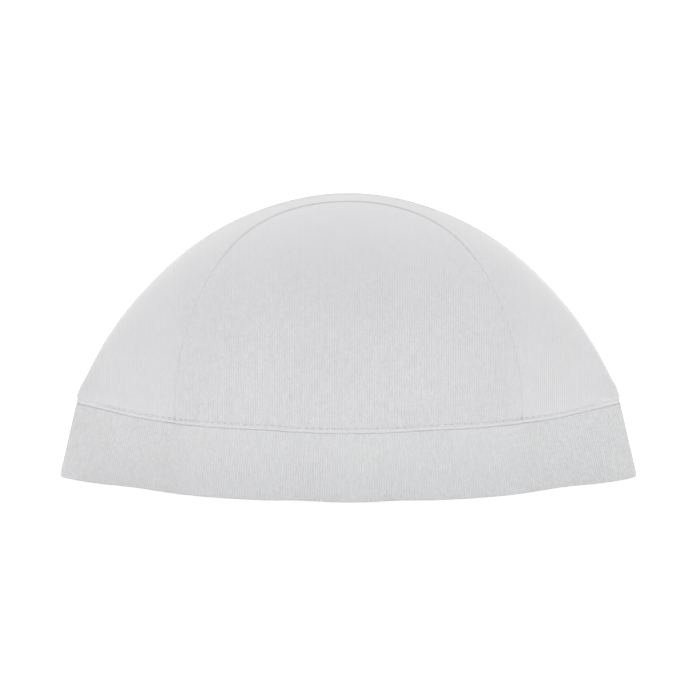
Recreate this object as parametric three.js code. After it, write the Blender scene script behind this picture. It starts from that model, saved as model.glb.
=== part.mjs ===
// Close-fitting knitted sports beanie, standing on its hem, half opened.
// A front panel with an arched top and a back panel that wraps round the sides make the crown,
// and a doubled band closes it round the head. Millimetres, +Z up, the front faces -Y.
// The origin is on the surface the hem rests on, midway across and front to back.
import * as THREE from "three";
import { mergeVertices } from "three/addons/utils/BufferGeometryUtils.js";

// Driving dimensions, all to the outside of the cloth.
const HEM_HALF_WIDTH = 118.6; // middle to side crease, along the hem
const HEM_HALF_DEPTH = 50;
const SEAM_HALF_WIDTH = 111.5; // the same, along the seam between band and crown
const SEAM_HALF_DEPTH = 59;
const BAND_HEIGHT = 31;

// The crown's outline from the front, in polar form round the middle of the band seam: a row for each
// angle in degrees down from the top.
const OUTLINE = [
  { polar: 0, radius: 87 },
  { polar: 15, radius: 87.2 },
  { polar: 30, radius: 88.6 },
  { polar: 45, radius: 91.6 },
  { polar: 60, radius: 96 },
  { polar: 70, radius: 100.5 },
  { polar: 78, radius: 104.7 },
  { polar: 84, radius: 108.4 },
  { polar: 87, radius: 110.8 },
  { polar: 90, radius: SEAM_HALF_WIDTH },
];
const CROWN_RISE = OUTLINE[0].radius;

// The front panel's arched seam, seen from the front, in the same form.
const ARCH = [
  { polar: 0, radius: 85.9 },
  { polar: 12, radius: 85.95 },
  { polar: 22, radius: 85.8 },
  { polar: 32, radius: 84.6 },
  { polar: 42, radius: 81.6 },
  { polar: 52, radius: 77.9 },
  { polar: 64, radius: 74.5 },
  { polar: 78, radius: 71.8 },
  { polar: 90, radius: 70.8 },
];

// How sharply a level section is creased at the sides: 1 is an ellipse, 2 is a lens with sharp tips.
const TOP_CREASE = 1;
const SEAM_CREASE = 1.6;
const HEM_CREASE = 1.75;
const CREASE_SOFTNESS = 0.3; // share of the half section over which the tip is rounded

// Cloth.
const CROWN_WALL = 1.5; // one layer of rib knit
const BAND_WALL = 2.6; // two layers, folded at the hem
const SEAM_GAP = 0.3; // between sewn edges

// Fineness of the faceted walls.
const ARCH_COLUMNS = 48; // along the arched seam
const SIDE_COLUMNS = 8; // along the band seam, from the arched seam to each side crease
const FRONT_ROWS = 12;
const RIDGE_ROWS = 9; // from the arched seam up to the ridge between the two side creases
const BACK_ROWS = 13; // from the ridge down to the band at the back
const BAND_COLUMNS = 96;

const QUARTER = Math.PI / 2;

// Point of a level section with half axes 1, at an angle from the front (-Y) towards +X.
function sectionPoint(angle, crease) {
  const forward = Math.cos(angle);
  const narrowing = (forward ** 2 + CREASE_SOFTNESS ** 2) / (1 + CREASE_SOFTNESS ** 2);
  return { x: Math.sin(angle), y: -forward * narrowing ** ((crease - 1) / 2) };
}

function crownCrease(polar) {
  return TOP_CREASE + (SEAM_CREASE - TOP_CREASE) * Math.sin(polar) ** 3;
}

// Smooth curve through a polar table. It is level at the top.
function curveThrough(table, endingEnd) {
  const curve = new THREE.CubicInterpolant(
    table.map(({ polar }) => THREE.MathUtils.degToRad(polar)),
    table.map(({ radius }) => radius),
    1,
  );
  curve.settings = { endingStart: THREE.ZeroSlopeEnding, endingEnd };
  return curve;
}

const outlineCurve = curveThrough(OUTLINE, THREE.ZeroCurvatureEnding);
const archCurve = curveThrough(ARCH, THREE.ZeroSlopeEnding);

// Half width, half depth and height above the band seam of the crown's level section at a polar angle.
function crownSection(polar, inset) {
  const radius = outlineCurve.evaluate(polar)[0] - inset;
  const height = radius * Math.cos(polar);
  const share = Math.min(height / (CROWN_RISE - inset), 1);
  return {
    halfWidth: radius * Math.sin(polar),
    halfDepth: (SEAM_HALF_DEPTH - inset) * Math.sqrt(1 - share * share),
    height,
  };
}

// Places on the crown are points of a disk: its centre is the top of the head, its rim the band seam,
// and -Y on the disk is the front. The inset moves the point into the cloth.
function crownPoint(place, inset) {
  const polar = Math.min(place.length(), 1) * QUARTER;
  const section = crownSection(polar, inset);
  const unit = sectionPoint(Math.atan2(place.x, -place.y), crownCrease(polar));
  return new THREE.Vector3(
    section.halfWidth * unit.x,
    section.halfDepth * unit.y,
    BAND_HEIGHT + SEAM_GAP + section.height,
  );
}

// The place on the disk of the front point that lies x to the side and height above the band seam.
function frontPlace(x, height) {
  let low = 0;
  let high = QUARTER;
  for (let step = 0; step < 50; step += 1) {
    const middle = (low + high) / 2;
    if (crownSection(middle, 0).height > height) low = middle;
    else high = middle;
  }
  const angle = Math.asin(THREE.MathUtils.clamp(x / crownSection(low, 0).halfWidth, -1, 1));
  const radius = low / QUARTER;
  return new THREE.Vector2(radius * Math.sin(angle), -radius * Math.cos(angle));
}

// The arched seam as seen from the front. The swing runs from a quarter turn below zero where the seam
// leaves the band at -X, through zero at the top, to a quarter turn where it meets the band again.
function archPoint(swing) {
  const radius = archCurve.evaluate(Math.abs(swing))[0];
  return { x: radius * Math.sin(swing), height: radius * Math.max(Math.cos(swing), 0) };
}

function archPlace(swing) {
  const { x, height } = archPoint(swing);
  return frontPlace(x, height);
}

// The same seam on the back panel's side, a seam gap away across the cloth.
function archPlaceBehind(swing) {
  const step = 0.01;
  const at = archPlace(swing);
  const along = archPlace(Math.min(swing + step, QUARTER)).sub(archPlace(Math.max(swing - step, -QUARTER)));
  const away = new THREE.Vector2(-along.y, along.x).normalize();
  const stretch = crownPoint(at.clone().addScaledVector(away, -step), 0).distanceTo(crownPoint(at, 0)) / step;
  const moved = at.addScaledVector(away, SEAM_GAP / stretch);
  const onRim = Math.abs(swing) > QUARTER - step / 2;
  return onRim || moved.length() > 1 ? moved.normalize() : moved;
}

// A closed body from closed loops of points, each joined to the next. The loops of a panel shrink to a
// line at its two pointed ends, and triangles of no area are left out there.
function joinLoops(loops, joinLastToFirst) {
  const size = loops[0].length;
  const positions = loops.flat().flatMap((p) => [p.x, p.y, p.z]);
  const triangles = [];
  const spans = joinLastToFirst ? loops.length : loops.length - 1;
  for (let i = 0; i < spans; i += 1) {
    const near = i * size;
    const far = ((i + 1) % loops.length) * size;
    for (let j = 0; j < size; j += 1) {
      const next = (j + 1) % size;
      triangles.push(near + j, far + j, far + next, near + j, far + next, near + next);
    }
  }
  const geometry = new THREE.BufferGeometry();
  geometry.setAttribute("position", new THREE.Float32BufferAttribute(positions, 3));
  geometry.setIndex(triangles);
  const merged = mergeVertices(geometry, 1e-3);
  const kept = [];
  for (let i = 0; i < merged.index.count; i += 3) {
    const corners = [0, 1, 2].map((k) => merged.index.getX(i + k));
    if (new Set(corners).size === 3) kept.push(...corners);
  }
  merged.setIndex(kept);
  merged.computeVertexNormals();
  return merged;
}

// A crown panel from columns of places: outside the cloth along each column and back down inside.
function panel(columns) {
  const loops = columns.map((places) => {
    const outside = places.map((place) => crownPoint(place, 0));
    const inside = places.map((place) => crownPoint(place, CROWN_WALL)).reverse();
    return [...outside, ...inside];
  });
  return joinLoops(loops, false);
}

function evenSteps(count, from, to) {
  return Array.from({ length: count + 1 }, (_, i) => from + (i / count) * (to - from));
}

// The front panel's columns stand upright, as its ribs do, from the band up to the arched seam.
function crownFront() {
  const columns = evenSteps(ARCH_COLUMNS, -QUARTER, QUARTER).map((swing) => {
    const { x, height } = archPoint(swing);
    return evenSteps(FRONT_ROWS, 0, QUARTER).map((lift) => frontPlace(x, height * Math.sin(lift)));
  });
  return panel(columns);
}

// The back panel's columns run from its front edge up to the ridge and down to the band behind. The
// front edge is the arched seam with the band seam at both sides of it. All columns meet at the two
// side creases.
function crownBack() {
  const corner = archPlaceBehind(QUARTER);
  const cornerAngle = Math.atan2(corner.x, -corner.y);
  const rimPlace = (angle) => new THREE.Vector2(Math.sin(angle), -Math.cos(angle));
  const frontEdge = [
    ...evenSteps(SIDE_COLUMNS, -QUARTER, -cornerAngle).slice(0, -1).map(rimPlace),
    ...evenSteps(ARCH_COLUMNS, -QUARTER, QUARTER).map(archPlaceBehind),
    ...evenSteps(SIDE_COLUMNS, cornerAngle, QUARTER).slice(1).map(rimPlace),
  ];
  const columns = frontEdge.map((front, i) => {
    const across = -1 + (2 * i) / (frontEdge.length - 1);
    const ridge = new THREE.Vector2(across, 0);
    const behind = rimPlace(Math.PI - across * QUARTER);
    return [
      ...evenSteps(RIDGE_ROWS, 0, 1).slice(0, -1).map((share) => front.clone().lerp(ridge, share)),
      ...evenSteps(BACK_ROWS, 0, 1).map((share) => ridge.clone().lerp(behind, share)),
    ];
  });
  return panel(columns);
}

// The band: a doubled wall, pressed flat where its fold rests on the surface.
function band() {
  const profile = [
    { inset: 0, height: 1.2 },
    { inset: 0, height: 0.35 * BAND_HEIGHT },
    { inset: 0, height: 0.7 * BAND_HEIGHT },
    { inset: 0, height: BAND_HEIGHT },
    { inset: BAND_WALL, height: BAND_HEIGHT },
    { inset: BAND_WALL, height: 0.7 * BAND_HEIGHT },
    { inset: BAND_WALL, height: 0.35 * BAND_HEIGHT },
    { inset: BAND_WALL, height: 1.2 },
    { inset: BAND_WALL - 0.25, height: 0.35 },
    { inset: BAND_WALL - 0.75, height: 0 },
    { inset: 0.75, height: 0 },
    { inset: 0.25, height: 0.35 },
  ];
  const { lerp } = THREE.MathUtils;
  const loops = [];
  for (let i = 0; i < BAND_COLUMNS; i += 1) {
    const angle = (i / BAND_COLUMNS) * 2 * Math.PI;
    loops.push(
      profile.map(({ inset, height }) => {
        const share = height / BAND_HEIGHT;
        const unit = sectionPoint(angle, lerp(HEM_CREASE, SEAM_CREASE, share));
        return new THREE.Vector3(
          (lerp(HEM_HALF_WIDTH, SEAM_HALF_WIDTH, share) - inset) * unit.x,
          (lerp(HEM_HALF_DEPTH, SEAM_HALF_DEPTH, share) - inset) * unit.y,
          height,
        );
      }),
    );
  }
  return joinLoops(loops, true);
}

function piece(name, geometry, material) {
  const mesh = new THREE.Mesh(geometry, material);
  mesh.name = name;
  return mesh;
}

const crownCloth = new THREE.MeshStandardMaterial({ color: 0xd8d8da, roughness: 0.9, metalness: 0 });
const bandCloth = new THREE.MeshStandardMaterial({ color: 0xd5d6d8, roughness: 0.9, metalness: 0 });

const beanie = new THREE.Group();
beanie.add(piece("crown_front", crownFront(), crownCloth));
beanie.add(piece("crown_back", crownBack(), crownCloth));
beanie.add(piece("band", band(), bandCloth));

export default beanie;
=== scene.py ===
"""Knitted sports beanie, standing half open on its hem: cloth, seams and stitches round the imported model."""

import math

import bpy
import numpy as np
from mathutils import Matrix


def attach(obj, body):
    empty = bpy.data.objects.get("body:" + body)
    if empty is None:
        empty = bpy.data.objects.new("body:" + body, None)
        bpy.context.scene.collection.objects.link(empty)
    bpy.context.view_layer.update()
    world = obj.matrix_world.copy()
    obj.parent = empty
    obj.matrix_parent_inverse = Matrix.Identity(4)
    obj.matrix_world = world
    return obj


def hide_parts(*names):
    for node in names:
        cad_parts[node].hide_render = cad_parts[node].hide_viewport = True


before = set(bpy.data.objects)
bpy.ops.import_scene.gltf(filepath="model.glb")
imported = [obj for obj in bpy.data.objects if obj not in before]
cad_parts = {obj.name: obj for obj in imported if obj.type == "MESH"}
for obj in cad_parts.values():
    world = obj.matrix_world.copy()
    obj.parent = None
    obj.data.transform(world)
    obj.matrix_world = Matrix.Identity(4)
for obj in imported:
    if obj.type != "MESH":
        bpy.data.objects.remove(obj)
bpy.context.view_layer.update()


# Front panel of the crown: one layer of fine rib knit, cut with an arched top, ribs upright.
# Its arched edge is sewn to the back panel, with the allowance pressed to this side, and its straight
# edge to the band. Sizes are the part's own, in millimetres.

CROWN_HALF_WIDTH = 111.5
CROWN_HALF_DEPTH = 59.0
CROWN_FOOT = 31.3
CROWN_WALL = 1.5
OUTLINE_DEGREES = np.array([0.0, 15, 30, 45, 60, 70, 78, 84, 87, 90])
OUTLINE_RADIUS = np.array([87.0, 87.2, 88.6, 91.6, 96.0, 100.5, 104.7, 108.4, 110.8, 111.5])
CROWN_RISE = 87.0
ARCH_DEGREES = np.array([0.0, 12, 22, 32, 42, 52, 64, 78, 90])
ARCH_RADIUS = np.array([85.9, 85.95, 85.8, 84.6, 81.6, 77.9, 74.5, 71.8, 70.8])
ARCH_HALF_WIDTH, ARCH_RISE = 70.8, 85.9
TOP_CREASE, SEAM_CREASE, CREASE_SOFTNESS = 1.0, 1.6, 0.3

RIBS_IN_QUARTER = 130
STEPS_IN_RIB = 4
RIB_DEPTH = 0.2
ARCH_FOOT_STEPS = np.array([0, 1.5, 3.0, 4.5, 6.0, 8.0, 10.0])
STITCHES_IN_QUARTER = 93
COURSE = 0.72
SEAM_RIDGE = 0.0321
CROWDED_ROW = math.radians(0.25)
SEAM_EDGE = [0.0, 0.14, 0.28, 0.42, 0.58, 0.76, 0.96, 1.16, 1.36, 1.54, 1.7, 1.86, 2.04, 2.3, 2.7, 3.3, 4.2]
DENT_HEIGHT, DENT_FADE = 22, 8
SIDE_START, SIDE_FADE = 98, 12
SEAM_SAG = 0.27
BULK_X, BULK_WIDE = 68, 5
SEAM_DENTS = [
    {"x": -102, "wide": 12, "depth": 3.2},
    {"x": -36, "wide": 14, "depth": 2.2},
    {"x": 34, "wide": 14, "depth": 1.8},
    {"x": 101, "wide": 12, "depth": 3.2},
]


def through(knots, values, at, last):
    """Cubic through the knots. Each knot's slope is the mean of the chords' beside it. The first is level,
    and the last has this share of its chord's slope."""
    chord = np.diff(values) / np.diff(knots)
    slope = np.concatenate([[0.0], (chord[:-1] + chord[1:]) / 2, last * chord[-1:]])
    i = np.clip(np.searchsorted(knots, at) - 1, 0, len(chord) - 1)
    step = knots[i + 1] - knots[i]
    t = (at - knots[i]) / step
    start = (1 + 2 * t) * (1 - t) ** 2 * values[i] + t * (1 - t) ** 2 * step * slope[i]
    return start + t * t * (3 - 2 * t) * values[i + 1] + t * t * (t - 1) * step * slope[i + 1]


def section_depth(across, crease):
    """Depth share of a level section at a share across: the ellipse's, narrowed to a soft side crease."""
    forward = np.sqrt(np.clip(1 - across**2, 0, 1))
    narrowing = (forward**2 + CREASE_SOFTNESS**2) / (1 + CREASE_SOFTNESS**2)
    return forward * narrowing ** ((crease - 1) / 2)


outline_polar = np.linspace(0, math.pi / 2, 20001)
outline_radius = through(np.radians(OUTLINE_DEGREES), OUTLINE_RADIUS, outline_polar, 1)
outline_width = outline_radius * np.sin(outline_polar)
outline_rise = outline_radius * np.cos(outline_polar)
arch_radius = through(np.radians(ARCH_DEGREES), ARCH_RADIUS, outline_polar, 0)
arch_reach = arch_radius * np.sin(outline_polar)
arch_height = arch_radius * np.cos(outline_polar)


def bump_at(distance, centre, width):
    """Round-topped ridge across a distance: the bell curve about its centre."""
    return np.exp(-(((distance - centre) / width) ** 2))


def pressed_in(points):
    """The same points with the front pressed in along the band seam: a bell curve across for each dent,
    that fades above and below the seam and towards the side creases."""
    x, y, z = np.moveaxis(points, -1, 0)
    depth = sum(dent["depth"] * bump_at(x, dent["x"], dent["wide"]) for dent in SEAM_DENTS)
    depth = depth * bump_at(z, CROWN_FOOT, DENT_HEIGHT) * np.clip(-y / DENT_FADE, 0, 1)
    return np.stack([x, y + depth, z], axis=-1)


def sideways_share(x):
    """Share by which a place is at a side crease: none up to the start, all once the fade is past."""
    return np.clip((np.abs(x) - SIDE_START) / SIDE_FADE, 0, 1)


def crown_surface(x, turn):
    """Points on the crown. x is across; turn goes over it, from -90 degrees at the band in front through 0
    on the ridge to 90 at the band behind. The height is the outline's at x times the cosine of turn, and the
    depth is that of the level section at this height."""
    ridge = np.interp(np.abs(x), outline_width, outline_rise)
    height = ridge * np.cos(turn)
    polar = np.interp(height, outline_rise[::-1], outline_polar[::-1])
    half_width = np.interp(polar, outline_polar, outline_width)
    half_depth = CROWN_HALF_DEPTH * np.sqrt(np.clip(1 - (height / CROWN_RISE) ** 2, 0, 1))
    crease = TOP_CREASE + (SEAM_CREASE - TOP_CREASE) * np.sin(polar) ** 3
    depth = half_depth * section_depth(np.clip(np.abs(x) / half_width, 0, 1), crease)
    return pressed_in(np.stack([x + 0 * height, np.sign(turn) * depth, CROWN_FOOT + height], axis=-1))


def crown_normals(x, turn):
    """Unit normals of the crown: the cross product of its slopes across and over, each taken between two near
    points, turned to face away from the middle. The side tips face straight out."""
    limit = CROWN_HALF_WIDTH
    right, left = np.clip(x + 0.05, -limit, limit), np.clip(x - 0.05, -limit, limit)
    across = crown_surface(right, turn) - crown_surface(left, turn)
    over = crown_surface(x, turn + 0.004) - crown_surface(x, turn - 0.004)
    normal = np.cross(across, over)
    length = np.linalg.norm(normal, axis=-1, keepdims=True)
    outward = crown_surface(x, turn) - np.array([0, 0, CROWN_FOOT - 20.0])
    normal = np.where(length > 1e-7, normal / np.maximum(length, 1e-9), np.sign(outward) * [1, 0, 0])
    return normal * np.sign(np.sum(normal * outward, axis=-1, keepdims=True))


def running_length(points):
    """Distance along each column of a grid, summed from its first row."""
    steps = np.linalg.norm(np.diff(points, axis=1), axis=-1)
    return np.concatenate([np.zeros((len(points), 1)), np.cumsum(steps, axis=1)], axis=1)


def cloth_mesh(name, outside, inside, wales, started=0, closed_ring=False):
    """Closed wall of cloth. Each column is a loop, down the outside rows and back up the inside rows, and
    neighbouring columns are joined by quads. The UV map counts wales across and courses along, from the
    length of cloth that lies before each column's start."""
    loops = np.concatenate([outside, inside[:, ::-1]], axis=1)
    columns, size = loops.shape[:2]
    length = (running_length(loops) + started) / COURSE
    near = np.arange(columns if closed_ring else columns - 1)
    far = (near + 1) % columns
    row = np.arange(size)
    after = (row + 1) % size

    def corner(column, level):
        return column[:, None] * size + level[None, :]

    quads = np.stack([corner(near, row), corner(near, after), corner(far, after), corner(far, row)], axis=-1)
    quads = quads.reshape(-1, 4)
    counts = np.concatenate([wales, wales[:1] + 4 * RIBS_IN_QUARTER]) if closed_ring else wales
    back = length[:, -1:] + np.linalg.norm(loops[:, 0] - loops[:, -1], axis=-1)[:, None] / COURSE
    length = np.concatenate([length, back], axis=1)

    def grid(ahead, level):
        count = np.broadcast_to(counts[near + ahead][:, None], (len(near), size))
        return np.stack([count, length[(near + ahead) % columns][:, level]], axis=-1)

    uv = np.stack([grid(0, row), grid(0, row + 1), grid(1, row + 1), grid(1, row)], axis=2)
    mesh = bpy.data.meshes.new(name)
    mesh.vertices.add(columns * size)
    mesh.vertices.foreach_set("co", (loops.reshape(-1, 3) * 0.001).astype(np.float32).ravel())
    mesh.loops.add(quads.size)
    mesh.loops.foreach_set("vertex_index", quads.ravel().astype(np.int32))
    mesh.polygons.add(len(quads))
    mesh.polygons.foreach_set("loop_start", np.arange(0, quads.size, 4, dtype=np.int32))
    mesh.polygons.foreach_set("loop_total", np.full(len(quads), 4, dtype=np.int32))
    mesh.uv_layers.new(name="knit").data.foreach_set("uv", uv.astype(np.float32).ravel())
    mesh.polygons.foreach_set("use_smooth", np.ones(len(quads), dtype=bool))
    mesh.update(calc_edges=True)
    mesh.validate()
    piece = bpy.data.objects.new(name, mesh)
    bpy.context.scene.collection.objects.link(piece)
    return piece


rim_angle = np.linspace(0, math.pi / 2, 8001)
rim_depth = CROWN_HALF_DEPTH * section_depth(np.sin(rim_angle), SEAM_CREASE)
rim_curve = np.stack([CROWN_HALF_WIDTH * np.sin(rim_angle), rim_depth], axis=-1)
rim_length = np.concatenate([[0], np.cumsum(np.linalg.norm(np.diff(rim_curve, axis=0), axis=-1))])
rib_pitch = rim_length[-1] / RIBS_IN_QUARTER
quarter_steps = np.arange(RIBS_IN_QUARTER * STEPS_IN_RIB + 1)
half_columns = np.interp(quarter_steps * rib_pitch / STEPS_IN_RIB, rim_length, rim_curve[:, 0])
arch_foot = np.interp(ARCH_FOOT_STEPS, arch_height[::-1], arch_reach[::-1])
half_columns = half_columns[np.abs(half_columns - ARCH_HALF_WIDTH) > 0.06]
half_columns = np.sort(np.append(half_columns, arch_foot))
crown_columns = np.concatenate([-half_columns[:0:-1], half_columns])
crown_along_rim = np.interp(np.abs(crown_columns), rim_curve[:, 0], rim_length)
crown_wales = np.sign(crown_columns) * crown_along_rim / rib_pitch


def arch_turn(x):
    """Turn at which the arched seam crosses a column: its height there over the ridge's gives the cosine."""
    height = np.interp(np.abs(x), arch_reach, arch_height)
    ridge = np.interp(np.abs(x), outline_width, outline_rise)
    return -np.arccos(np.clip(height / np.maximum(ridge, 1e-9), 0, 1))


def seam_rows(x, first, last, middle, level):
    """Turns of each column's rows: close together near both ends, where the seams are, and even between.
    Level rows keep the turn that they have on a column that starts at the band, and crowd up where the
    arched seam would cut them, so that no face is sheared far from it."""
    small = 0.01
    speed_first = np.linalg.norm(crown_surface(x, first + small) - crown_surface(x, first), axis=-1) / small
    speed_last = np.linalg.norm(crown_surface(x, last) - crown_surface(x, last - small), axis=-1) / small
    edge = np.array(SEAM_EDGE)
    share = 0.3 * (last - first)
    near_first = np.minimum(1 / np.maximum(speed_first, 1e-6), share / edge[-1])
    near_last = np.minimum(1 / np.maximum(speed_last, 1e-6), share / edge[-1])
    low = first[:, None] + edge * near_first[:, None]
    high = last[:, None] - edge[::-1] * near_last[:, None]
    steps = np.linspace(0, 1, middle + 2)[1:-1]
    between = low[:, -1:] + (high[:, :1] - low[:, -1:]) * steps
    if level:
        lowest = edge[-1] * near_first[:, None] - math.pi / 2
        uncut = lowest + (high[:, :1] - lowest) * steps
        between = np.maximum(uncut, low[:, -1:] + CROWDED_ROW * np.arange(1, middle + 1))
    return np.concatenate([low, between, high], axis=1)


def arch_distance(points, normals, from_arch):
    """Distance across the cloth to the arched seam, from the distances along the column and along the level
    row: the height of the right-angled triangle that the two make."""
    height = points[..., 2] - CROWN_FOOT
    reach = np.interp(height, arch_height[::-1], arch_reach[::-1])
    facing = np.where(np.abs(normals[..., 1]) < 1e-4, 1e-4, normals[..., 1])
    slant = np.sqrt(1 + (normals[..., 0] / facing) ** 2)
    level = np.abs(np.abs(points[..., 0]) - reach) * slant
    level = np.where((points[..., 1] > 0) | (height >= ARCH_RISE), 1e3, level)
    return from_arch * level / np.maximum(np.hypot(from_arch, level), 1e-9)


SOFT_SWELLS = [
    {"x": -32, "z": 55, "long": 42, "wide": 11, "turn": -25, "lift": 0.5},
    {"x": 6, "z": 76, "long": 16, "wide": 10, "turn": 10, "lift": 0.35},
    {"x": 58, "z": 66, "long": 30, "wide": 6, "turn": 102, "lift": 0.35},
    {"x": -60, "z": 48, "long": 30, "wide": 7, "turn": 84, "lift": 0.3},
    {"x": 30, "z": 44, "long": 34, "wide": 10, "turn": 12, "lift": -0.3},
    {"x": 3, "z": 16, "long": 16, "wide": 9, "turn": 80, "lift": 0.3},
    {"x": 70, "z": 17, "long": 20, "wide": 7, "turn": 40, "lift": -0.3},
    {"x": -74, "z": 15, "long": 18, "wide": 7, "turn": -50, "lift": -0.25},
]


def soft_swells(points):
    """Slack of the cloth as low swells and dents: a turned bell curve for each row, on the front and mirrored
    across on the back."""
    lift = np.zeros(points.shape[:-1])
    for swell in SOFT_SWELLS:
        side = np.where(points[..., 1] > 0, -1, 1)
        x, z = points[..., 0] * side - swell["x"], points[..., 2] - swell["z"]
        c, s = math.cos(math.radians(swell["turn"])), math.sin(math.radians(swell["turn"]))
        along, beside = (x * c + z * s) / swell["long"], (-x * s + z * c) / swell["wide"]
        lift += swell["lift"] * np.exp(-(along**2) - beside**2)
    return lift


def crown_panel(name, x, wales, first, last, middle, arch_at_first, allowance):
    """Cloth of a crown panel between two turns. The outside is the crown's surface moved along its normal by
    the ribs, the slack, the ditch of the arched seam, the allowance under it, and at the band the rolled
    edge, the ridge of the allowance, the swell beside the side creases and the line the stitches pull in."""
    turn = seam_rows(x, first, last, middle, arch_at_first)
    points = crown_surface(x[:, None], turn)
    normals = crown_normals(x[:, None], turn)
    length = running_length(points)
    on_arch = np.abs(x)[:, None] <= ARCH_HALF_WIDTH + 1e-6
    from_arch = length if arch_at_first else length[:, -1:] - length
    to_arch = arch_distance(points, normals, np.where(on_arch, from_arch, 1e3))
    height = points[..., 2] - CROWN_FOOT
    to_band = height / np.sqrt(np.clip(1 - normals[..., 2] ** 2, 0.02, 1))
    sideways = sideways_share(x)[:, None]
    share = height / CROWN_RISE
    hole = bump_at(np.cos(math.pi * wales / RIBS_IN_QUARTER * STITCHES_IN_QUARTER), 1, 0.7)[:, None]
    relief = RIB_DEPTH / 2 * (np.cos(2 * math.pi * wales[:, None]) - 1) * (1 - 0.85 * share**2)
    relief = relief + soft_swells(points) * np.clip(to_band / 8, 0, 1)
    relief -= (0.26 + 1.1 * share**4) * bump_at(to_arch, 0, 0.34 + 0.12 * share**4)
    past = np.clip((to_arch - 5.5) / 3, 0, 1)
    relief += allowance * (1 - past**2 * (3 - 2 * past))
    thick = bump_at(np.abs(x)[:, None], BULK_X, BULK_WIDE) * (points[..., 1] < 0)
    relief -= (0.3 * (1 - 0.85 * sideways) + 0.2 * thick) * bump_at(to_band, 0, 0.3)
    ridge = bump_at(to_band, 0.72, np.where(to_band < 0.72, 0.36, 0.62))
    relief += (0.42 * (1 - 0.7 * sideways) + 0.2 * thick) * ridge
    relief += 0.5 * sideways * bump_at(to_band, 2.9, 1.7)
    relief -= (0.08 + 0.32 * hole + 0.3 * thick) * bump_at(to_band, 1.78, 0.18)
    outside = points + normals * relief[..., None]
    outside[..., 2] -= SEAM_SAG * np.clip(1 - to_band / 4, 0, 1)
    total = points.shape[1]
    rows = np.unique(np.concatenate([[0, 7, 13], np.arange(16, total - 16, 4), total - np.array([14, 8, 1])]))
    inside = points[:, rows] - normals[:, rows] * CROWN_WALL
    inside[..., 2] -= SEAM_SAG * np.clip(1 - to_band[:, rows] / 4, 0, 1)
    before = crown_surface(x[:, None], np.linspace(-math.pi / 2, first, 60, axis=1))
    return cloth_mesh(name, outside, inside, wales, running_length(before)[:, -1:])


class Value:
    """A socket of a finish. Arithmetic on it adds the Math nodes that work it out."""

    def __init__(self, finish, socket):
        self.finish, self.socket = finish, socket

    def out(self, name):
        return Value(self.finish, self.socket.node.outputs[name])

    def math(self, operation, *inputs):
        return self.finish.node("Math", {"operation": operation}, dict(enumerate(inputs)))

    def __add__(self, other):
        return self.math("ADD", self, other)

    def __sub__(self, other):
        return self.math("SUBTRACT", self, other)

    def __rsub__(self, other):
        return self.math("SUBTRACT", other, self)

    def __mul__(self, other):
        return self.math("MULTIPLY", self, other)

    def __pow__(self, other):
        return self.math("POWER", self, other)

    def __abs__(self):
        return self.math("ABSOLUTE", self)

    __radd__ = __add__
    __rmul__ = __mul__


class Finish:
    """A material in the making. node() adds any node: its type, its settings, then its inputs."""

    def __init__(self, name):
        self.material = bpy.data.materials.new(name)
        self.material.use_nodes = True
        self.material.node_tree.nodes.clear()

    def node(self, kind, settings, inputs):
        node = self.material.node_tree.nodes.new("ShaderNode" + kind)
        for key, value in settings.items():
            setattr(node, key, value)
        for key, value in inputs.items():
            if isinstance(value, Value):
                self.material.node_tree.links.new(value.socket, node.inputs[key])
            else:
                node.inputs[key].default_value = value
        if not node.outputs:
            return node
        return Value(self, next(socket for socket in node.outputs if socket.enabled))


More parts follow.
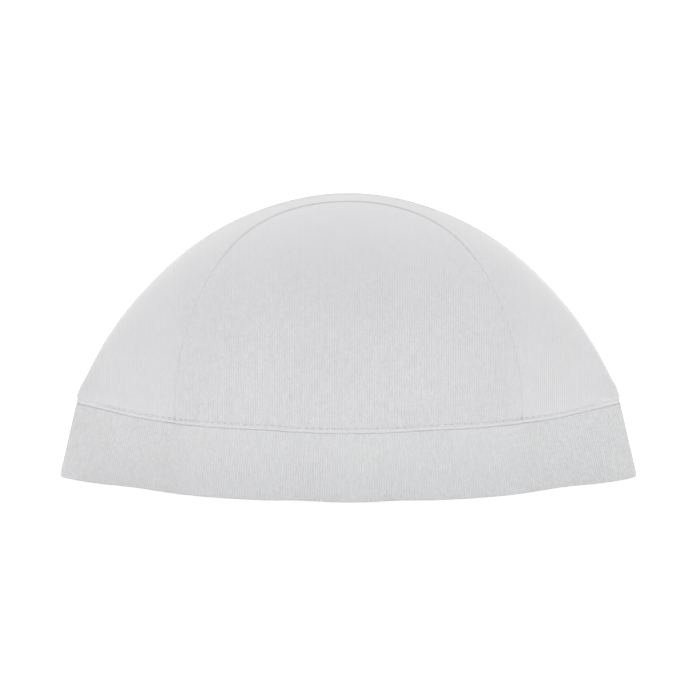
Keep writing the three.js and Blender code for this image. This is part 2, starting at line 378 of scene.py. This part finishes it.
def knit_finish(name, shade, warm, contrast, beside):
    """Fine rib knit. The UV map counts wales and courses: a wale's valley is painted darker as shade, each
    course adds the two slanting legs of its loops, to the bump and as painted shade between them, and noise
    gives the yarn's flecks, its short uneven patches, its fibres and how deep the valleys' painted shade is.
    The darkening, painted shade and yarn tone together, is fainter towards the top, where the cloth is pulled
    smooth, changes towards the sides by the share beside, and is taken off on the ridge along the band seam, a
    painted highlight that makes the ridge read as lit from above."""
    cloth = Finish(name)
    knit = cloth.node("UVMap", {"uv_map": "knit"}, {})
    parts = cloth.node("SeparateXYZ", {}, {0: knit})
    wale, course = parts.out("X"), parts.out("Y")
    valley = 0.5 - 0.5 * (wale * (2 * math.pi)).math("COSINE", wale * (2 * math.pi))
    leg = abs((wale + 0.5).math("FRACT", wale + 0.5) - 0.5)
    loop = (course + leg * 1.3) * (2 * math.pi)
    loop = 0.5 + 0.5 * loop.math("SINE", loop)
    place = cloth.node("TexCoord", {}, {}).out("Object")
    fleck = cloth.node("TexNoise", {}, {"Vector": place, "Scale": 900.0, "Detail": 3.0, "Roughness": 0.6})
    cloud = cloth.node("TexNoise", {}, {"Vector": place, "Scale": 38.0, "Detail": 2.0, "Roughness": 0.5})
    stretch = cloth.node("VectorMath", {"operation": "MULTIPLY"}, {0: knit, 1: (0.45, 0.16, 0.0)})
    uneven = cloth.node("TexNoise", {}, {"Vector": stretch, "Scale": 1.0, "Detail": 3.0, "Roughness": 0.65})
    patches = cloth.node("VectorMath", {"operation": "MULTIPLY"}, {0: knit, 1: (0.5, 0.2, 0.0)})
    mottle = cloth.node("TexNoise", {}, {"Vector": patches, "Scale": 1.0, "Detail": 1.0, "Roughness": 0.5})
    axes = cloth.node("SeparateXYZ", {}, {0: place})
    aside = cloth.node("MapRange", {}, {0: abs(axes.out("X")), 1: 0.064, 2: 0.074, 3: 1.0, 4: beside})
    depth = contrast - 1.3 * (9.5 * axes.out("Z")) ** 4
    # Painted highlight: on the ridge just above the band seam the darkening is taken off, so that the ridge
    # reads lighter, as if lit from above.
    off_ridge = abs(axes.out("Z") - SEAM_RIDGE)
    off_ridge = cloth.node("MapRange", {}, {0: off_ridge, 1: 0.0003, 2: 0.0009, 3: 0.0, 4: 1.0})
    depth = depth.math("MAXIMUM", depth, 0.1) * aside * off_ridge
    # Painted shade: the wale valleys and the gaps between the loops' legs are darkened as if by shade in the
    # knit's hollows; the flecks and the patches are the yarn's own uneven tone.
    painted_shade_and_flecks = 0.011 + (0.01 + 0.1 * uneven) * valley**1.5 + 0.03 * (1.0 - loop) - 0.16 * (fleck - 0.5)
    painted_shade_and_flecks = painted_shade_and_flecks + 0.06 * (0.5 - mottle)
    tone = 1.0 - depth * painted_shade_and_flecks + 0.04 * (cloud - 0.5)
    mix = {"data_type": "RGBA", "blend_type": "MIX"}
    colour = cloth.node("Mix", mix, {"Factor": tone, 6: (0, 0, 0, 1), 7: (*shade, 1)})
    colour = Value(cloth, colour.socket.node.outputs[2])
    fibres = cloth.node("TexNoise", {}, {"Vector": place, "Scale": 2600.0, "Detail": 2.0})
    height = loop * (1.0 - 0.6 * valley) + 0.35 * fibres
    bump = cloth.node("Bump", {}, {"Strength": 0.45, "Distance": 0.00012, "Height": height})
    surface = cloth.node(
        "BsdfPrincipled",
        {},
        {
            "Base Color": colour,
            "Roughness": 0.92,
            "Specular IOR Level": 0.25,
            "Sheen Weight": 1.0,
            "Sheen Roughness": 0.4,
            "Sheen Tint": (*warm, 1),
            "Normal": bump,
        },
    )
    cloth.node("OutputMaterial", {}, {"Surface": surface})
    return cloth.material


crown_knit = knit_finish("crown_knit", (0.6065, 0.604, 0.617), (1.0, 0.99, 0.98), 1.6, 0.5)
front_columns = np.abs(crown_columns) <= ARCH_HALF_WIDTH + 1e-6
front_x = crown_columns[front_columns]
front_start = np.full(len(front_x), -math.pi / 2)
front_panel = crown_panel(
    "front_panel", front_x, crown_wales[front_columns], front_start, arch_turn(front_x), 26, False, 0.22
)
front_panel.data.materials.append(crown_knit)
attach(front_panel, "root")
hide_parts("crown_front")


# Back panel of the crown: the same knit in one piece, from the arched seam over the top and round both
# sides to the band behind. It meets the front panel in a plain seam and the band in the topstitched one.

back_x = crown_columns
back_start = np.where(np.abs(back_x) <= ARCH_HALF_WIDTH, arch_turn(back_x), -math.pi / 2)
back_end = np.full(len(back_x), math.pi / 2)
back_panel = crown_panel("back_panel", back_x, crown_wales, back_start, back_end, 34, True, 0.0)
back_panel.data.materials.append(crown_knit)
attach(back_panel, "root")
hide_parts("crown_back")


# Band: a strip of the same knit, doubled, its fold at the hem and its two raw edges sewn to the crown.
# It spreads towards the hem at the sides and is drawn in at the front and back.

HEM_HALF_WIDTH, HEM_HALF_DEPTH, HEM_CREASE = 118.6, 50.0, 1.75
BAND_TOP, BAND_WALL = 31.0, 2.6
HEM_DRAWN_IN = 0.02
HEM_DENTS = [
    {"x": -90, "wide": 15, "share": 0.14},
    {"x": -20, "wide": 11, "share": 0.05},
    {"x": 21, "wide": 11, "share": 0.045},
    {"x": 90, "wide": 14, "share": 0.16},
]


def band_surface(angle, inset, height):
    """Points on the band: a level section whose half axes and crease go evenly from the hem's to the crown
    seam's with height, less the inset. Towards the hem its front is less deep by the share drawn in and by
    the dents, each a bell curve across."""
    share = height / BAND_TOP
    half_width = HEM_HALF_WIDTH + (CROWN_HALF_WIDTH - HEM_HALF_WIDTH) * share - inset
    half_depth = HEM_HALF_DEPTH + (CROWN_HALF_DEPTH - HEM_HALF_DEPTH) * share - inset
    crease = HEM_CREASE + (SEAM_CREASE - HEM_CREASE) * share
    across = np.sin(angle)
    front = np.sign(np.cos(angle))
    x = half_width * across
    dents = sum(dent["share"] * bump_at(x, dent["x"], dent["wide"]) for dent in HEM_DENTS)
    taken = (front > 0) * (HEM_DRAWN_IN + dents) * (1 - share**1.5)
    depth = -front * section_depth(across, crease) * (1 - taken)
    return pressed_in(np.stack([x, half_depth * depth, height + 0 * across], axis=-1))


band_edge = np.array(SEAM_EDGE)
band_down = np.linspace(BAND_TOP - band_edge[-1], 1.5, 14)[1:]
fold_turn = np.radians(np.linspace(0, 90, 7))[1:]
fold_out = np.stack([1.1 * (1 - np.cos(fold_turn)) ** 0.9, 1.5 * (1 - np.sin(fold_turn) ** 0.8)], axis=-1)
outer_profile = np.concatenate(
    [
        np.stack([0 * band_edge, BAND_TOP - band_edge], axis=-1),
        np.stack([0 * band_down, band_down], axis=-1),
        fold_out,
        np.array([[1.3, 0.0]]),
    ]
)
inner_profile = np.concatenate(
    [
        np.array([[BAND_WALL, level] for level in (BAND_TOP, 24.0, 16.0, 8.0, 1.5)]),
        (fold_out * [-1, 1] + [BAND_WALL, 0])[1:],
    ]
)
ring = np.linspace(0, 2 * math.pi, 40001)
ring_points = band_surface(ring, 0, np.array(12.0))
ring_length = np.concatenate([[0], np.cumsum(np.linalg.norm(np.diff(ring_points, axis=0), axis=-1))])
band_steps = 4 * RIBS_IN_QUARTER * STEPS_IN_RIB
band_count = np.arange(band_steps)
band_angle = np.interp(band_count / band_steps * ring_length[-1], ring_length, ring)
band_wales = band_count / STEPS_IN_RIB
inset, height = outer_profile.T
slack = soft_swells(band_surface(band_angle[:, None], inset, height)) * np.clip((BAND_TOP - height) / 6, 0, 1)
rib = RIB_DEPTH / 2 * (np.cos(2 * math.pi * band_wales[:, None]) - 1) * np.clip(height / 1.5, 0, 1)
sideways = sideways_share(CROWN_HALF_WIDTH * np.sin(band_angle[:, None]))
roll = -0.3 * (1 - 0.85 * sideways) * bump_at(BAND_TOP - height, 0, 0.3)
spread = 0.45 * np.abs(np.sin(band_angle[:, None])) ** 12
relief = rib + roll + spread + slack * np.clip(height / 10, 0, 1)
band_outside = band_surface(band_angle[:, None], inset - relief, height)
band_inside = band_surface(band_angle[:, None], *inner_profile.T)
band_cloth = cloth_mesh("band_cloth", band_outside, band_inside, band_wales, closed_ring=True)
band_knit = knit_finish("band_knit", (0.604, 0.606, 0.615), (0.99, 0.99, 1.0), 1.3, 1.5)
band_cloth.data.materials.append(band_knit)
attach(band_cloth, "root")
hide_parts("band")


# Topstitching: one row of thread just above the band seam, through the crown and the allowance under it.
# Each stitch is a short arched length of thread that sinks into the knit at its two ends.

STITCH_LENGTH, STITCH_THICK, STITCH_RISE = 1.14, 0.32, 1.78


def stitch_row(angle, count):
    """Threads along a level line round the crown: a tube for each, whose middle stands highest and whose
    ends narrow and go under, by the sine of the way along it."""
    along = np.linspace(-0.5, 0.5, 7)
    around = np.linspace(0, 2 * math.pi, 7)[:-1]
    middle = np.interp((np.arange(count) + 0.5) / count * angle["length"][-1], angle["length"], angle["turn"])
    rate = np.gradient(angle["turn"], angle["length"])
    rate = np.interp((np.arange(count) + 0.5) / count * angle["length"][-1], angle["length"], rate)
    turn = middle[:, None] + along[None, :] * STITCH_LENGTH * rate[:, None]
    arch = np.sin((along + 0.5) * math.pi)[None, :]
    centre = angle["at"](turn, 0.34 - 0.36 * arch)
    outward = angle["at"](turn, -1.0) - angle["at"](turn, 0.0)
    outward /= np.linalg.norm(outward, axis=-1, keepdims=True)
    upward = np.array([0.0, 0.0, 1.0])
    thick = STITCH_THICK / 2 * (0.55 + 0.45 * arch[..., None, None])
    ring = np.cos(around)[:, None] * outward[:, :, None, :] + np.sin(around)[:, None] * upward
    return centre[:, :, None, :] + ring * thick


def stitch_line(turn, inset):
    """The level line that the stitches follow, at their height on the crown, less the inset."""
    half_width = np.interp(STITCH_RISE, outline_rise[::-1], outline_width[::-1]) - inset
    half_depth = CROWN_HALF_DEPTH - inset
    across = np.sin(turn)
    depth = -np.sign(np.cos(turn)) * section_depth(across, SEAM_CREASE)
    level = np.full_like(across, CROWN_FOOT + STITCH_RISE - 0.15)
    return pressed_in(np.stack([half_width * across, half_depth * depth, level], axis=-1))


stitch_points = stitch_line(ring, 0)
stitch_length = np.concatenate([[0], np.cumsum(np.linalg.norm(np.diff(stitch_points, axis=0), axis=-1))])
stitches = stitch_row({"length": stitch_length, "turn": ring, "at": stitch_line}, 4 * STITCHES_IN_QUARTER)


def tubes_mesh(name, tubes):
    """Joined mesh of short tubes: rings joined by quads, and each end closed by one face."""
    count, rings, sides = tubes.shape[:3]
    first = np.arange(count)[:, None, None] * rings * sides
    ring_start = first + np.arange(rings - 1)[None, :, None] * sides
    side = np.arange(sides)[None, None, :]
    after = (side + 1) % sides
    corners = [side, side + sides, after + sides, after]
    quads = np.stack([ring_start + corner for corner in corners], axis=-1)
    start_cap = first[:, :, 0] + np.arange(sides)[None, :]
    end_cap = first[:, :, 0] + (rings - 1) * sides + np.arange(sides)[::-1][None, :]
    mesh = bpy.data.meshes.new(name)
    faces = quads.reshape(-1, 4).tolist() + start_cap.tolist() + end_cap.tolist()
    mesh.from_pydata((tubes.reshape(-1, 3) * 0.001).tolist(), [], faces)
    mesh.polygons.foreach_set("use_smooth", np.ones(len(mesh.polygons), dtype=bool))
    mesh.update()
    piece = bpy.data.objects.new(name, mesh)
    bpy.context.scene.collection.objects.link(piece)
    return piece


topstitching = tubes_mesh("topstitching", stitches)
thread = Finish("topstitch_thread")
thread_place = thread.node("TexCoord", {}, {}).out("Object")
grain = thread.node("TexNoise", {}, {"Vector": thread_place, "Scale": 3000.0, "Detail": 2.0})
THREAD_DARK, THREAD_LIGHT = (0.64, 0.645, 0.66, 1), (0.76, 0.765, 0.775, 1)
thread_tone = thread.node("Mix", {"data_type": "RGBA"}, {"Factor": grain, 6: THREAD_DARK, 7: THREAD_LIGHT})
thread_tone = Value(thread, thread_tone.socket.node.outputs[2])
thread_bump = thread.node("Bump", {}, {"Strength": 0.3, "Distance": 0.00005, "Height": grain})
thread_surface = thread.node(
    "BsdfPrincipled",
    {},
    {"Base Color": thread_tone, "Roughness": 0.6, "Sheen Weight": 0.1, "Normal": thread_bump},
)
thread.node("OutputMaterial", {}, {"Surface": thread_surface})
topstitching.data.materials.append(thread.material)
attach(topstitching, "root")


# Studio: a pale floor that runs out of sight, even light from all round, broad soft lamps low and high in
# front, high behind and at both sides, and a long lens a little above the hat, level across its front.

floor_mesh = bpy.data.meshes.new("floor")
floor_mesh.from_pydata([(-20, -20, 0), (20, -20, 0), (20, 20, 0), (-20, 20, 0)], [], [(0, 1, 2, 3)])
floor = bpy.data.objects.new("floor", floor_mesh)
bpy.context.scene.collection.objects.link(floor)
paper = Finish("studio_paper")
paper_surface = paper.node(
    "BsdfPrincipled",
    {},
    {
        "Base Color": (0.97, 0.97, 0.97, 1),
        "Roughness": 1.0,
        "Specular IOR Level": 0.0,
        "Emission Color": (1, 1, 1, 1),
        "Emission Strength": 0.21,
    },
)
paper.node("OutputMaterial", {}, {"Surface": paper_surface})
floor_mesh.materials.append(paper.material)

world = bpy.data.worlds.new("studio")
bpy.context.scene.world = world
world.use_nodes = True
world.node_tree.nodes["Background"].inputs["Color"].default_value = (1, 1, 1, 1)
world.node_tree.nodes["Background"].inputs["Strength"].default_value = 0.40

CAMERA_ELEVATION, CAMERA_DISTANCE = math.radians(12), 3.6
AIM = np.array([0.00068, 0, 0.0532])
LENS = 36 * CAMERA_DISTANCE / 0.2877

STUDIO_LAMPS = [
    {"name": "low_front", "place": (0, -3.0, 0.35), "tilt": 84, "turn": 0, "size": (2.4, 0.7), "watts": 20},
    {"name": "high_front", "place": (0, -2.0, 2.0), "tilt": 45, "turn": 0, "size": (2.0, 1.2), "watts": 29},
    {"name": "high_back", "place": (0, 1.5, 2.2), "tilt": -34, "turn": 0, "size": (2.0, 1.2), "watts": 33},
    {"name": "left", "place": (-2.3, 0.5, 0.9), "tilt": 69, "turn": -102, "size": (1.2, 1.2), "watts": 13},
    {"name": "right", "place": (2.3, 0.5, 0.9), "tilt": 69, "turn": 102, "size": (1.2, 1.2), "watts": 13},
]
for lamp in STUDIO_LAMPS:
    lamp_data = bpy.data.lights.new(lamp["name"], "AREA")
    lamp_data.shape, lamp_data.energy = "RECTANGLE", lamp["watts"]
    lamp_data.size, lamp_data.size_y = lamp["size"]
    lamp_object = bpy.data.objects.new(lamp["name"], lamp_data)
    lamp_object.location = lamp["place"]
    lamp_object.rotation_euler = (math.radians(lamp["tilt"]), 0, math.radians(lamp["turn"]))
    bpy.context.scene.collection.objects.link(lamp_object)

camera_data = bpy.data.cameras.new("camera")
camera_data.lens, camera_data.sensor_width = LENS, 36
camera_data.clip_start, camera_data.clip_end = 0.1, 100
camera = bpy.data.objects.new("camera", camera_data)
towards_camera = np.array([0, -math.cos(CAMERA_ELEVATION), math.sin(CAMERA_ELEVATION)])
camera.location = AIM + CAMERA_DISTANCE * towards_camera
camera.rotation_euler = (math.pi / 2 - CAMERA_ELEVATION, 0, 0)
bpy.context.scene.collection.objects.link(camera)
bpy.context.scene.camera = camera
bpy.context.scene.view_settings.view_transform = "Standard"
